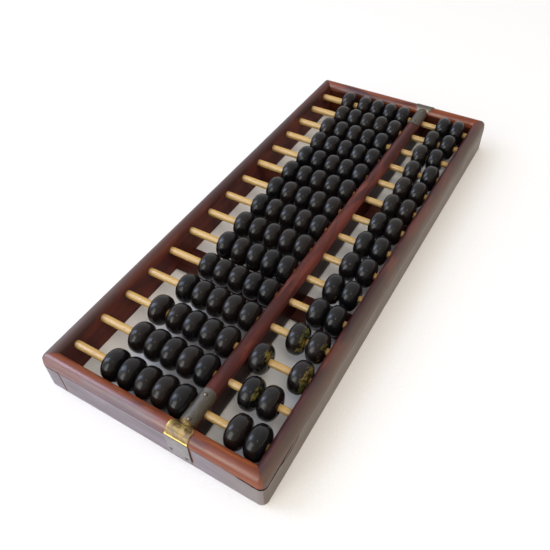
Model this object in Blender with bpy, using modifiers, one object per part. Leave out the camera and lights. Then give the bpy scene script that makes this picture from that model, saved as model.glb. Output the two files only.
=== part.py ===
"""A fifteen-rod Chinese abacus: rosewood frame, bamboo rods, black beads and two brass straps.

+X runs along the long rails, +Y points from the five-bead (earth) deck to the two-bead (heaven)
deck and +Z is up. The origin is on the table, under the middle of the frame.
"""

import math

import bmesh
import bpy
from mathutils import Matrix, Vector

MM = 0.001

# Rods and beads
ROD_COUNT = 15
ROD_PITCH = 23.0 * MM
ROD_RADIUS = 2.5 * MM
ROD_HEIGHT = 19.8 * MM
ROD_IN_RAIL = 5.0 * MM
BEAD_RADIUS = 9.8 * MM
BEAD_THICKNESS = 12.0 * MM
BEAD_BORE_RADIUS = 3.1 * MM
BEAD_END = 0.42
BEAD_BULGE = ((0.73, 0.8), (0.27, 1.0), (-0.27, 1.0), (-0.73, 0.8))
ROUND_SIDES = 10

# Frame
FRAME_LENGTH = 364.0 * MM
RAIL_WIDTH = 9.75 * MM
RAIL_HEIGHT = 27.0 * MM
DOME_HEIGHT = 5.8 * MM
DOME_STEPS = 6
GROOVE_WIDTH = 0.6 * MM
GROOVE_DEPTH = 0.5 * MM
CORNER_RADIUS = 4.0 * MM
CORNER_CUTS = (22.5, 45.0, 67.5)
EARTH_RUN = 84.5 * MM
BEAM_WIDTH = 10.0 * MM
HEAVEN_RUN = 39.0 * MM
BEAM_BOTTOM = 3.6 * MM
BEAM_TOP = 25.8 * MM
BEAM_DOME_HEIGHT = 4.8 * MM

# Joinery
GAP = 0.3 * MM
HOLE_CLEARANCE = 0.2 * MM
TENON_THICKNESS = 3.4 * MM
TENON_BOTTOM = 6.0 * MM
TENON_TOP = 16.0 * MM
RAIL_TENON_COVER = 2.5 * MM
BEAM_TENON_LENGTH = 4.0 * MM
BEAM_TENON_THICKNESS = 5.0 * MM

# Bottom braces
BRACE_WIDTH = 22.0 * MM
BRACE_THICKNESS = 3.0 * MM
BRACE_IN_RAIL = 5.0 * MM
BRACE_OFFSET = 57.5 * MM
BRACE_BEVEL = 0.5 * MM

# Brass straps
STRAP_THICKNESS = 0.6 * MM
STRAP_LEG_WIDTH = 9.4 * MM
STRAP_LEG_START = 149.5 * MM
STRAP_PLATE_WIDTH = 15.0 * MM
STRAP_PLATE_SHIFT = 0.5 * MM
STRAP_FLARE = 2.5 * MM
STRAP_BOTTOM = 3.2 * MM
STRAP_FOLD_ABOVE_GROOVE = 1.2 * MM
STRAP_FOLD_OVERLAP = 0.4 * MM
TACK_RADIUS = 1.1 * MM
TACK_TOP_RADIUS = 0.8 * MM
TACK_HEIGHT = 0.8 * MM
TACK_SIDES = 8
LEG_TACKS = (153.2 * MM, 168.8 * MM)
PLATE_TACK_OFFSET = 5.2 * MM
PLATE_TACK_HEIGHT = 8.4 * MM

# Rest places of the beads. A group is a row of touching beads, and a rod's groups are listed from
# -Y to +Y as (beads in the group, free rod between it and the next stop towards +Y).
TOUCHING = 0.3 * MM
EARTH_GROUPS = {
    1: ((1, 3.3 * MM), (4, 2.3 * MM)),
    13: ((1, 2.2 * MM), (4, 1.3 * MM)),
}
EARTH_SLACK = {2: 1.2 * MM, 3: 2.9 * MM, 6: 0.6 * MM, 7: 0.9 * MM, 8: 0.5 * MM}
HEAVEN_GROUPS = {
    2: ((1, 1.4 * MM), (1, 2.8 * MM)),
    4: ((1, 2.6 * MM), (1, 0.8 * MM)),
    12: ((1, 1.3 * MM), (1, 1.4 * MM)),
    13: ((1, 13.9 * MM), (1, 0.5 * MM)),
}
HEAVEN_SLACK = {
    1: 2.6 * MM,
    3: 5.2 * MM,
    5: 1.7 * MM,
    6: 1.4 * MM,
    7: 1.6 * MM,
    8: 2.0 * MM,
    9: 1.6 * MM,
    10: 2.2 * MM,
    11: 1.4 * MM,
    14: 6.6 * MM,
    15: TOUCHING,
}

FRAME_WIDTH = EARTH_RUN + BEAM_WIDTH + HEAVEN_RUN + 2 * RAIL_WIDTH
EARTH_FACE = -FRAME_WIDTH / 2 + RAIL_WIDTH
BEAM_EARTH_FACE = EARTH_FACE + EARTH_RUN
BEAM_HEAVEN_FACE = BEAM_EARTH_FACE + BEAM_WIDTH
HEAVEN_FACE = BEAM_HEAVEN_FACE + HEAVEN_RUN
BEAM_Y = (BEAM_EARTH_FACE + BEAM_HEAVEN_FACE) / 2
INNER_LENGTH = FRAME_LENGTH - 2 * RAIL_WIDTH
DOME_FOOT = RAIL_HEIGHT - DOME_HEIGHT


def clear_scene():
    """Remove every object that the file starts with."""
    for obj in list(bpy.data.objects):
        bpy.data.objects.remove(obj, do_unlink=True)


def new_collection(name):
    """A collection linked to the scene."""
    collection = bpy.data.collections.new(name)
    bpy.context.scene.collection.children.link(collection)
    return collection


def new_material(name, colour, roughness, metallic):
    """A Principled material of one colour."""
    material = bpy.data.materials.new(name)
    material.use_nodes = True
    shader = material.node_tree.nodes["Principled BSDF"]
    shader.inputs["Base Color"].default_value = (*colour, 1.0)
    shader.inputs["Roughness"].default_value = roughness
    shader.inputs["Metallic"].default_value = metallic
    return material


def add_object(name, bm, collection, material=None):
    """Turn a bmesh into an object whose faces point out."""
    bmesh.ops.recalc_face_normals(bm, faces=bm.faces)
    mesh = bpy.data.meshes.new(name)
    bm.to_mesh(mesh)
    bm.free()
    if material:
        mesh.materials.append(material)
    obj = bpy.data.objects.new(name, mesh)
    collection.objects.link(obj)
    return obj


def add_cutter(name, bm, collection):
    """An object that only shapes others."""
    cutter = add_object(name, bm, collection)
    cutter.hide_render = True
    cutter.display_type = "WIRE"
    return cutter


def shade_round(obj, angle=math.radians(40)):
    """Smooth shading that keeps the edges sharper than the angle."""
    obj.data.shade_smooth()
    obj.data.set_sharp_from_angle(angle=angle)


def boolean(obj, other, operation):
    """Cut, join or trim obj by another mesh object."""
    modifier = obj.modifiers.new(f"{operation.lower()} {other.name}", "BOOLEAN")
    modifier.operation = operation
    modifier.solver = "EXACT"
    modifier.object = other


def add_box(bm, low, high):
    """A box between two corners."""
    low, high = Vector(low), Vector(high)
    size = high - low
    place = Matrix.Translation((low + high) / 2) @ Matrix.Diagonal((*size, 1.0))
    bmesh.ops.create_cube(bm, size=1.0, matrix=place)


def add_rod(bm, radius, low_y, high_y, x):
    """A round bar along Y, at the height of the rods."""
    middle = Matrix.Translation((x, (low_y + high_y) / 2, ROD_HEIGHT))
    bmesh.ops.create_cone(
        bm,
        cap_ends=True,
        segments=ROUND_SIDES,
        radius1=radius,
        radius2=radius,
        depth=high_y - low_y,
        matrix=middle @ Matrix.Rotation(math.pi / 2, 4, "X"),
    )


def rod_x(number):
    """The place of rod 1 to 15 along the frame."""
    return (number - (ROD_COUNT + 1) / 2) * ROD_PITCH


def dome_outline(width, bottom, top, dome_height, groove=False):
    """A board on edge with a half-elliptical top, as (across, up) points; across starts at one face."""
    foot = top - dome_height
    points = [(0.0, bottom)]
    if groove:
        points.append((0.0, foot - GROOVE_WIDTH))
        points.append((GROOVE_DEPTH, foot - GROOVE_WIDTH / 2))
    for step in range(DOME_STEPS + 1):
        angle = math.pi * step / DOME_STEPS
        points.append((width / 2 * (1 - math.cos(angle)), foot + dome_height * math.sin(angle)))
    points.append((width, bottom))
    return points


def board(outline, length):
    """The outline extruded along X, centred on X = 0."""
    bm = bmesh.new()
    corners = [bm.verts.new((-length / 2, across, up)) for across, up in outline]
    face = bm.faces.new(corners)
    grown = bmesh.ops.extrude_face_region(bm, geom=[face])
    moved = [item for item in grown["geom"] if isinstance(item, bmesh.types.BMVert)]
    bmesh.ops.translate(bm, verts=moved, vec=(length, 0, 0))
    return bm


def mitre_ends(bm):
    """Slant both ends of a rail at 45 degrees, its inner side the shorter."""
    for vert in bm.verts:
        vert.co.x -= math.copysign(vert.co.y + GAP / 2, vert.co.x)


def round_outer_corners(bm, length):
    """Cut the outer corner at each end of a rail to a faceted round."""
    for side in (-1, 1):
        centre = Vector((side * (length / 2 - CORNER_RADIUS), CORNER_RADIUS, 0))
        for degrees in CORNER_CUTS:
            angle = math.radians(degrees)
            outward = Vector((side * math.cos(angle), -math.sin(angle), 0))
            everything = bm.verts[:] + bm.edges[:] + bm.faces[:]
            cut = bmesh.ops.bisect_plane(
                bm,
                geom=everything,
                plane_co=centre + outward * CORNER_RADIUS,
                plane_no=outward,
                clear_outer=True,
            )
            rim = [item for item in cut["geom_cut"] if isinstance(item, bmesh.types.BMEdge)]
            bmesh.ops.edgeloop_fill(bm, edges=rim)


def make_rail(name, length, place, parts, material):
    """One mitred rail; local +Y points to the inside of the frame."""
    outline = dome_outline(RAIL_WIDTH, 0.0, RAIL_HEIGHT, DOME_HEIGHT, groove=True)
    bm = board(outline, length)
    mitre_ends(bm)
    round_outer_corners(bm, length)
    bm.transform(place)
    rail = add_object(name, bm, parts, material)
    shade_round(rail)
    return rail


def placed(x, y, degrees):
    """The matrix that turns a piece about +Z and then moves it."""
    return Matrix.Translation((x, y, 0)) @ Matrix.Rotation(math.radians(degrees), 4, "Z")


def rail_places():
    """Name, length and placing matrix of the four rails."""
    return {
        "earth_rail": (FRAME_LENGTH, placed(0, -FRAME_WIDTH / 2, 0)),
        "heaven_rail": (FRAME_LENGTH, placed(0, FRAME_WIDTH / 2, 180)),
        "right_end_rail": (FRAME_WIDTH, placed(FRAME_LENGTH / 2, 0, 90)),
        "left_end_rail": (FRAME_WIDTH, placed(-FRAME_LENGTH / 2, 0, -90)),
    }


def end_rail_tenons(side, clearance):
    """The tenons of one end rail, which run in under the mitres of both long rails."""
    bm = bmesh.new()
    middle = side * (FRAME_LENGTH - RAIL_WIDTH) / 2
    half = TENON_THICKNESS / 2 + clearance
    reach = FRAME_WIDTH / 2 - RAIL_TENON_COVER + clearance
    add_box(
        bm,
        (middle - half, -reach, TENON_BOTTOM - clearance),
        (middle + half, reach, TENON_TOP + clearance),
    )
    return bm


def beam_tenons(clearance):
    """The stub tenons of the beam, as one bar through its whole length."""
    bm = bmesh.new()
    half = BEAM_TENON_THICKNESS / 2 + clearance
    reach = INNER_LENGTH / 2 + BEAM_TENON_LENGTH + clearance
    add_box(
        bm,
        (-reach, BEAM_Y - half, TENON_BOTTOM - clearance),
        (reach, BEAM_Y + half, TENON_TOP + clearance),
    )
    return bm


def rod_holes(cutters):
    """Fifteen bars that cut the holes in both long rails and the beam."""
    bm = bmesh.new()
    depth = ROD_IN_RAIL + GAP
    for number in range(1, ROD_COUNT + 1):
        radius = ROD_RADIUS + HOLE_CLEARANCE
        add_rod(bm, radius, EARTH_FACE - depth, HEAVEN_FACE + depth, rod_x(number))
    return add_cutter("rod_holes", bm, cutters)


def brace_box(bm, x, clearance):
    """The room of one brace, from rail to rail."""
    half = BRACE_WIDTH / 2 + clearance
    reach = BRACE_IN_RAIL + clearance
    add_box(
        bm,
        (x - half, EARTH_FACE - reach, GAP - clearance),
        (x + half, HEAVEN_FACE + reach, GAP + BRACE_THICKNESS + clearance),
    )


def make_frame(parts, cutters, wood):
    """Four rails and the beam, with their holes, mortises and housings."""
    rails = {
        name: make_rail(name, length, place, parts, wood)
        for name, (length, place) in rail_places().items()
    }
    holes = rod_holes(cutters)
    housings = bmesh.new()
    for side in (-1, 1):
        brace_box(housings, side * BRACE_OFFSET, GAP)
    housings = add_cutter("brace_housings", housings, cutters)
    beam_mortise = add_cutter("beam_mortise", beam_tenons(GAP), cutters)
    for side, end in ((1, "right_end_rail"), (-1, "left_end_rail")):
        tenon = add_cutter(f"{end}_tenon", end_rail_tenons(side, 0.0), cutters)
        mortise = add_cutter(f"{end}_mortise", end_rail_tenons(side, GAP), cutters)
        boolean(rails[end], tenon, "UNION")
        boolean(rails[end], beam_mortise, "DIFFERENCE")
        for long_rail in ("earth_rail", "heaven_rail"):
            boolean(rails[long_rail], mortise, "DIFFERENCE")
    for long_rail in ("earth_rail", "heaven_rail"):
        boolean(rails[long_rail], holes, "DIFFERENCE")
        boolean(rails[long_rail], housings, "DIFFERENCE")
    make_beam(parts, cutters, wood, holes)


def make_beam(parts, cutters, wood, holes):
    """The beam between the decks, with a stub tenon at each end."""
    outline = dome_outline(BEAM_WIDTH, BEAM_BOTTOM, BEAM_TOP, BEAM_DOME_HEIGHT)
    bm = board(outline, INNER_LENGTH - 2 * GAP)
    bmesh.ops.translate(bm, verts=bm.verts[:], vec=(0, BEAM_EARTH_FACE, 0))
    beam = add_object("beam", bm, parts, wood)
    shade_round(beam)
    tenons = add_cutter("beam_tenons", beam_tenons(0.0), cutters)
    boolean(beam, tenons, "UNION")
    boolean(beam, holes, "DIFFERENCE")


def make_braces(parts, wood):
    """Two flat battens let into the undersides of the long rails."""
    for name, side in (("left_brace", -1), ("right_brace", 1)):
        bm = bmesh.new()
        brace_box(bm, side * BRACE_OFFSET, 0.0)
        brace = add_object(name, bm, parts, wood)
        bevel = brace.modifiers.new("bevel", "BEVEL")
        bevel.width = BRACE_BEVEL
        bevel.segments = 1


def make_rods(parts, bamboo):
    """Fifteen bamboo rods, each held in both long rails and passing through the beam."""
    for number in range(1, ROD_COUNT + 1):
        bm = bmesh.new()
        low, high = EARTH_FACE - ROD_IN_RAIL, HEAVEN_FACE + ROD_IN_RAIL
        add_rod(bm, ROD_RADIUS, low, high, rod_x(number))
        rod = add_object(f"rod_{number:02d}", bm, parts, bamboo)
        shade_round(rod, math.radians(60))


def bead_outline(count):
    """A row of touching beads as (radius, height) points, down the outer side and back up the bore."""
    half = BEAD_THICKNESS / 2
    end_radius = BEAD_END * BEAD_RADIUS
    points = [(end_radius, count * BEAD_THICKNESS)]
    for bead in reversed(range(count)):
        middle = (bead + 0.5) * BEAD_THICKNESS
        for along, out in BEAD_BULGE:
            points.append((out * BEAD_RADIUS, middle + along * half))
        points.append((end_radius, bead * BEAD_THICKNESS))
    points.append((BEAD_BORE_RADIUS, 0.0))
    points.append((BEAD_BORE_RADIUS, count * BEAD_THICKNESS))
    return points


def bead_mesh(count, material):
    """The outline as a mesh of edges in the local XZ plane, for a Screw modifier to turn."""
    bm = bmesh.new()
    corners = [bm.verts.new((radius, 0, up)) for radius, up in bead_outline(count)]
    for first, second in zip(corners, corners[1:] + corners[:1]):
        bm.edges.new((first, second))
    mesh = bpy.data.meshes.new(f"beads_{count}")
    bm.to_mesh(mesh)
    bm.free()
    mesh.materials.append(material)
    return mesh


def add_beads(name, mesh, number, low_y, parts):
    """One group of beads on a rod, its origin on the rod's axis at its low end."""
    group = bpy.data.objects.new(name, mesh)
    parts.objects.link(group)
    group.location = (rod_x(number), low_y, ROD_HEIGHT)
    group.rotation_euler = (-math.pi / 2, 0, 0)
    screw = group.modifiers.new("turn", "SCREW")
    screw.axis = "Z"
    screw.angle = 2 * math.pi
    screw.steps = ROUND_SIDES
    screw.render_steps = ROUND_SIDES
    screw.use_merge_vertices = True
    screw.merge_threshold = 0.0001
    screw.use_smooth_shade = True


def make_deck(deck, bead_count, stop_y, groups, slack, parts, material):
    """The beads of one deck, placed back from the stop at its +Y side."""
    meshes = {}
    for number in range(1, ROD_COUNT + 1):
        row = groups.get(number, ((bead_count, slack.get(number, TOUCHING)),))
        high_y = stop_y
        letters = "ab" if len(row) == 2 else [""]
        for (count, free), letter in reversed(list(zip(row, letters))):
            if count not in meshes:
                meshes[count] = bead_mesh(count, material)
            low_y = high_y - free - count * BEAD_THICKNESS
            name = f"{deck}_beads_{number:02d}{letter}"
            add_beads(name, meshes[count], number, low_y, parts)
            high_y = low_y


def strap_plan(side, low, high):
    """The strap seen from above: a leg along the beam, a flare and a plate over the end rail."""
    leg = STRAP_LEG_WIDTH / 2
    plate = STRAP_PLATE_WIDTH / 2
    plate_y = BEAM_Y + STRAP_PLATE_SHIFT
    flare = INNER_LENGTH / 2 + GAP
    shoulder = flare + STRAP_FLARE
    outer = FRAME_LENGTH / 2 + GAP + STRAP_THICKNESS
    outline = [
        (STRAP_LEG_START, BEAM_Y - leg),
        (flare, BEAM_Y - leg),
        (shoulder, plate_y - plate),
        (outer, plate_y - plate),
        (outer, plate_y + plate),
        (shoulder, plate_y + plate),
        (flare, BEAM_Y + leg),
        (STRAP_LEG_START, BEAM_Y + leg),
    ]
    bm = bmesh.new()
    face = bm.faces.new([bm.verts.new((side * x, y, low)) for x, y in outline])
    grown = bmesh.ops.extrude_face_region(bm, geom=[face])
    moved = [item for item in grown["geom"] if isinstance(item, bmesh.types.BMVert)]
    bmesh.ops.translate(bm, verts=moved, vec=(0, 0, high - low))
    return bm


def grown_beam(grow):
    """The beam's solid made larger all round, long enough to run into the end rails."""
    outline = dome_outline(
        BEAM_WIDTH + 2 * grow, BEAM_BOTTOM, BEAM_TOP + grow, BEAM_DOME_HEIGHT + grow
    )
    bm = board(outline, FRAME_LENGTH - RAIL_WIDTH)
    bmesh.ops.translate(bm, verts=bm.verts[:], vec=(0, BEAM_EARTH_FACE - grow, 0))
    return bm


def grown_end_rail(side, grow):
    """The end rail's solid made larger all round, with square ends."""
    outline = dome_outline(
        RAIL_WIDTH + 2 * grow, 0.0, RAIL_HEIGHT + grow, DOME_HEIGHT + grow
    )
    bm = board(outline, FRAME_WIDTH)
    turn = Matrix.Rotation(math.radians(side * 90), 4, "Z")
    bm.transform(Matrix.Translation((side * (FRAME_LENGTH / 2 + grow), 0, 0)) @ turn)
    return bm


def tack_head(bm, place):
    """A flat round tack head, its axis along local Z, sunk a little into the brass."""
    bmesh.ops.create_cone(
        bm,
        cap_ends=True,
        segments=TACK_SIDES,
        radius1=TACK_RADIUS,
        radius2=TACK_TOP_RADIUS,
        depth=TACK_HEIGHT,
        matrix=place,
    )


def strap_tacks(side):
    """Two tacks along the leg and two on the folded plate."""
    bm = bmesh.new()
    top = BEAM_TOP + GAP + STRAP_THICKNESS
    for x in LEG_TACKS:
        tack_head(bm, Matrix.Translation((side * x, BEAM_Y, top)))
    outer = side * (FRAME_LENGTH / 2 + GAP + STRAP_THICKNESS)
    turn = Matrix.Rotation(math.radians(side * 90), 4, "Y")
    for offset in (-PLATE_TACK_OFFSET, PLATE_TACK_OFFSET):
        y = BEAM_Y + STRAP_PLATE_SHIFT + offset
        tack_head(bm, Matrix.Translation((outer, y, PLATE_TACK_HEIGHT)) @ turn)
    return bm


def strap_fold(side, top):
    """The part of the plate that hangs down the outer face of the end rail."""
    bm = bmesh.new()
    inner = side * (FRAME_LENGTH / 2 + GAP)
    outer = side * (FRAME_LENGTH / 2 + GAP + STRAP_THICKNESS)
    plate_y = BEAM_Y + STRAP_PLATE_SHIFT
    add_box(
        bm,
        (min(inner, outer), plate_y - STRAP_PLATE_WIDTH / 2, STRAP_BOTTOM),
        (max(inner, outer), plate_y + STRAP_PLATE_WIDTH / 2, top),
    )
    return bm


def make_strap(name, side, parts, cutters, brass):
    """A brass T over one end of the beam, folded down the outside of the end rail."""
    low = DOME_FOOT + STRAP_FOLD_ABOVE_GROOVE
    high = RAIL_HEIGHT + 2 * (GAP + STRAP_THICKNESS)
    skin = GAP + STRAP_THICKNESS
    strap = add_object(name, strap_plan(side, low, high), parts, brass)
    outside = add_cutter(f"{name}_outside", grown_end_rail(side, skin), cutters)
    steps = (
        (outside, "leg", grown_beam(skin), "UNION"),
        (strap, "rail_room", grown_end_rail(side, GAP), "DIFFERENCE"),
        (strap, "beam_room", grown_beam(GAP), "DIFFERENCE"),
        (strap, "fold", strap_fold(side, low + STRAP_FOLD_OVERLAP), "UNION"),
        (strap, "tacks", strap_tacks(side), "UNION"),
    )
    boolean(strap, outside, "INTERSECT")
    for piece, tool, bm, operation in steps:
        boolean(piece, add_cutter(f"{name}_{tool}", bm, cutters), operation)


def main():
    clear_scene()
    parts = new_collection("abacus")
    cutters = new_collection("cutters")
    rosewood = new_material("rosewood", (0.16, 0.05, 0.035), 0.35, 0.0)
    bamboo = new_material("bamboo", (0.78, 0.58, 0.27), 0.5, 0.0)
    lacquer = new_material("black_lacquer", (0.018, 0.018, 0.02), 0.18, 0.0)
    brass = new_material("brass", (0.62, 0.47, 0.2), 0.35, 1.0)
    make_frame(parts, cutters, rosewood)
    make_braces(parts, rosewood)
    make_rods(parts, bamboo)
    make_deck("earth", 5, BEAM_EARTH_FACE, EARTH_GROUPS, EARTH_SLACK, parts, lacquer)
    make_deck("heaven", 2, HEAVEN_FACE, HEAVEN_GROUPS, HEAVEN_SLACK, parts, lacquer)
    make_strap("left_strap", -1, parts, cutters, brass)
    make_strap("right_strap", 1, parts, cutters, brass)


main()
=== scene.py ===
"""The looks of a fifteen-rod abacus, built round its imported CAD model.

All lengths are in metres in the model's own frame: +X along the long rails, +Y from the five-bead
(earth) deck to the two-bead (heaven) deck, +Z up, and the table at z = 0.
"""

import math
import random

import bmesh
import bpy
from mathutils import Matrix, Vector, kdtree, noise


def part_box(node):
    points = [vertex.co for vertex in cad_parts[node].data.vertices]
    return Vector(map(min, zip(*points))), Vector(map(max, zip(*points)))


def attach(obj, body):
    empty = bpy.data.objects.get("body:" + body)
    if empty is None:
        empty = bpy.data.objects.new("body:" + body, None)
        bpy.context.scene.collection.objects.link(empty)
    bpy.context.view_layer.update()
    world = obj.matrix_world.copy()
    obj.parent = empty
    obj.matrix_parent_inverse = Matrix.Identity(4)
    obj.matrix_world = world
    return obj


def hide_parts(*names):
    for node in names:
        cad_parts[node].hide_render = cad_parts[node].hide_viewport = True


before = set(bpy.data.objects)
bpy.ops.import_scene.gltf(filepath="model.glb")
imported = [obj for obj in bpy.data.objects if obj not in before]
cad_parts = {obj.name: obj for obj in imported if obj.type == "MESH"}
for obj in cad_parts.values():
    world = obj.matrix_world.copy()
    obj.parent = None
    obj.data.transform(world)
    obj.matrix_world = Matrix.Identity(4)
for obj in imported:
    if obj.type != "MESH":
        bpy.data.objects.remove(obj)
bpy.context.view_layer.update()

MM = 0.001

# Camera
CAMERA_PLACE = Vector((272.9, 143.6, 298.1)) * MM
CAMERA_AIM = Vector((54.2, 7.4, 19.8)) * MM
CAMERA_ROLL = math.radians(-1.82)
CAMERA_LENS = 37.6
CAMERA_SENSOR = 36.0

# Rails and beam
DOME_HEIGHT = 5.8 * MM
BEAM_DOME_HEIGHT = 4.8 * MM
CORNER_RADIUS = 4.4 * MM
INNER_CORNER_RADIUS = 0.15 * MM
EDGE_RADIUS = 0.4 * MM
GROOVE_DROP = 0.3 * MM
GROOVE_DIP = 1.6 * MM
GROOVE_WIDTH = 0.55 * MM
GROOVE_DEPTH = 0.9 * MM
STATION_STEP = 3.0 * MM
CORNER_STEP = 0.7 * MM
CORNER_REACH = 36.0 * MM
HOLE_CLEARANCE = 0.18 * MM
RAIL_WAVE = 0.09 * MM
BEAM_COPE = 1.4 * MM
SHARP_ANGLE = math.radians(35)

# Cracks and joint lines; each cut is its width and its depth
CRACK_WIDTH = 0.3 * MM
CRACK_ROUGHNESS = 0.8 * MM
JOINT_LINE_Y = -62.0 * MM
JOINT_CUT = (1.1 * MM, 1.2 * MM)
SPLIT_CUT = (0.8 * MM, 1.2 * MM)
SPLINTER_CUT = (1.3 * MM, 1.2 * MM)
# How dark the painted shade at the bottom of each cut is
CUT_DARKNESS = 12.0

# Beads and rods
BEAD_RADIUS = 10.12 * MM
BEAD_SHIFT = 0.22 * MM
BEAD_BORE = 2.95 * MM
BEAD_ROUNDS = 44
BEAD_DROP = 0.1 * MM
BEAD_FULLNESS = 2.6
BEAD_REACH = 1.04
ROD_NUMBERS = range(1, 16)
ROD_ROUNDS = 20
ROD_WAVE = 0.05 * MM
ROD_EARTH_SHARE = 1.05
ROD_HEAVEN_SHARE = 0.92
ROD_LIFT = {14: 0.6 * MM, 15: 0.4 * MM}
ROD_RINGS = 70
# Rods whose earth beads are a little thinner or smaller than usual, as (thickness, radius) shares
THIN_EARTH_RODS = {10: (0.985, 0.99), 11: (0.97, 0.95), 12: (0.985, 0.99), 14: (0.99, 1.0)}
# Heaven rods whose beads differ in radius, for the bead by the beam and the one by the rail
BIG_HEAVEN_BEADS = {1: (1.0, 1.05), 15: (1.0, 1.035)}
# How far beads stand from the even row of their CAD group, from -Y to +Y on the rod
BEAD_NUDGES = {
    ("earth", 3): (-0.45 * MM, 0, 0, 0, 0),
    ("earth", 6): (-0.4 * MM, 0, 0, 0, 0),
    ("earth", 13): (0, -0.15 * MM, -0.15 * MM, 0, 0),
    ("heaven", 3): (-0.22 * MM, 0.22 * MM),
    ("heaven", 15): (-0.15 * MM, 0.05 * MM),
}
# Heaven beads whose lacquer has worn through, by rod, for the bead by the beam and the one by the rail
WORN_HEAVEN_BEADS = {10: (0.3, 0.1), 12: (0.5, 0.4), 13: (0.45, 0.52), 14: (0.42, 0.15)}

# Brass
SHEET = 0.45 * MM
STRAP_LEG_WIDTH = 9.4 * MM
STRAP_PLATE_WIDTH = 15.0 * MM
STRAP_FLARE = 4.2 * MM
STRAP_CORNER = 2.2 * MM
STRAP_COLUMNS = 18
TACK_RADIUS = 1.25 * MM
TACK_HEIGHT = 0.65 * MM
TACK_ROUNDS = 16
# Share of the near strap's brightness, its painted reflection and highlight included, that the far strap
# gets
FAR_STRAP_SHINE = 0.25

# Woods, as their dark, warm and greyed colours, how much is warm, and how light hidden faces are; the
# greyed colour is a greyed wax finish together with a painted sheen, and the colour of hidden faces is
# painted shade
LONG_WOOD = ((0.045, 0.015, 0.015), (0.1, 0.027, 0.019), (0.17, 0.136, 0.135), 0.4, 1.9)
BEAM_WOOD = ((0.064, 0.018, 0.016), (0.12, 0.03, 0.023), (0.12, 0.085, 0.085), 0.5, 0.25)
END_WOOD = ((0.085, 0.022, 0.02), (0.2, 0.05, 0.02), (0.26, 0.228, 0.275), 0.65, 0.5)
BRACE_WOOD = ((0.06, 0.018, 0.015), (0.1, 0.03, 0.022), (0.1, 0.07, 0.07), 0.4, 0.8)

# Windows, as name, azimuth, elevation, width, height, watts, watts in reflections only, and colour
WINDOWS = (
    ("blue_window", -68, 42, 0.9, 1.5, 13.0, 230.0, (0.6, 0.72, 1.0)),
    ("grey_window", -20, 25, 1.0, 1.9, 13.5, 145.0, (0.95, 1.0, 0.95)),
)
WINDOW_DISTANCE = 2.6
FILL_DISTANCE = 2.8
LAMP_DISTANCE = 1.1
DIM_SKY = (0.5, 0.44, 0.36)
BRIGHT_SKY = (1.1, 1.13, 1.2)
FLOOR_HALF = 4.0

EARTH_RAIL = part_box("earth_rail")
HEAVEN_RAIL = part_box("heaven_rail")
LEFT_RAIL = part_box("left_end_rail")
RIGHT_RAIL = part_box("right_end_rail")
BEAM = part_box("beam")
FRAME_LENGTH = RIGHT_RAIL[1].x - LEFT_RAIL[0].x
FRAME_WIDTH = HEAVEN_RAIL[1].y - EARTH_RAIL[0].y
RAIL_WIDTH = EARTH_RAIL[1].y - EARTH_RAIL[0].y
RAIL_HEIGHT = EARTH_RAIL[1].z
RAIL_FOOT = RAIL_HEIGHT - DOME_HEIGHT
INNER_X = FRAME_LENGTH / 2 - RAIL_WIDTH
BEAM_WIDTH = BEAM[1].y - BEAM[0].y
BEAM_Y = (BEAM[0].y + BEAM[1].y) / 2
BEAM_FOOT = BEAM[1].z - BEAM_DOME_HEIGHT


# ---------------------------------------------------------------- mesh helpers


def wave(place, size, seed):
    """Smooth noise from -1 to 1 whose bumps are about size across."""
    return noise.noise(Vector(place) / size + Vector((seed * 7.3, seed * 3.1, seed * 5.7)))


def smooth_step(low, high, value):
    """0 below low, 1 above high, with a smooth rise between them."""
    share = min(max((value - low) / (high - low), 0.0), 1.0)
    return share * share * (3 - 2 * share)


def add_piece(name, bm, material, sharp=SHARP_ANGLE):
    """Turn a bmesh into a smooth-shaded piece of the frame's own material slot."""
    bmesh.ops.recalc_face_normals(bm, faces=bm.faces)
    mesh = bpy.data.meshes.new(name)
    bm.to_mesh(mesh)
    bm.free()
    mesh.shade_smooth()
    mesh.set_sharp_from_angle(angle=sharp)
    mesh.materials.append(material)
    piece = bpy.data.objects.new(name, mesh)
    bpy.context.scene.collection.objects.link(piece)
    return piece


def skin_rings(bm, rings, closed_ring=True, cap=True):
    """Faces between rings of vertices that all have the same count."""
    count = len(rings[0])
    last = count if closed_ring else count - 1
    for ring, after in zip(rings, rings[1:]):
        for index in range(last):
            nxt = (index + 1) % count
            bm.faces.new((ring[index], ring[nxt], after[nxt], after[index]))
    if cap:
        bm.faces.new(rings[0][::-1])
        bm.faces.new(rings[-1])


def apply_modifiers(piece):
    """Make the modifiers' result the piece's own mesh."""
    graph = bpy.context.evaluated_depsgraph_get()
    mesh = bpy.data.meshes.new_from_object(piece.evaluated_get(graph), depsgraph=graph)
    piece.modifiers.clear()
    piece.data = mesh


def cut(piece, bm, darkness=1.0):
    """Cut a bmesh tool out of a piece, remove the tool, and paint the bottom of the cut dark as shade."""
    mesh = bpy.data.meshes.new("tool")
    bmesh.ops.recalc_face_normals(bm, faces=bm.faces)
    bm.to_mesh(mesh)
    bm.free()
    corners = kdtree.KDTree(len(mesh.vertices))
    for vert in mesh.vertices:
        corners.insert(vert.co, vert.index)
    corners.balance()
    tool = bpy.data.objects.new("tool", mesh)
    bpy.context.scene.collection.objects.link(tool)
    modifier = piece.modifiers.new("cut", "BOOLEAN")
    modifier.operation = "DIFFERENCE"
    modifier.solver = "EXACT"
    modifier.object = tool
    apply_modifiers(piece)
    bpy.data.objects.remove(tool)
    piece.data.set_sharp_from_angle(angle=SHARP_ANGLE)
    inner = piece.data.attributes["inner"].data
    for vert in piece.data.vertices:
        if corners.find(vert.co)[2] < 0.01 * MM:
            inner[vert.index].value = darkness


# ---------------------------------------------------------------- material helpers


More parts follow.
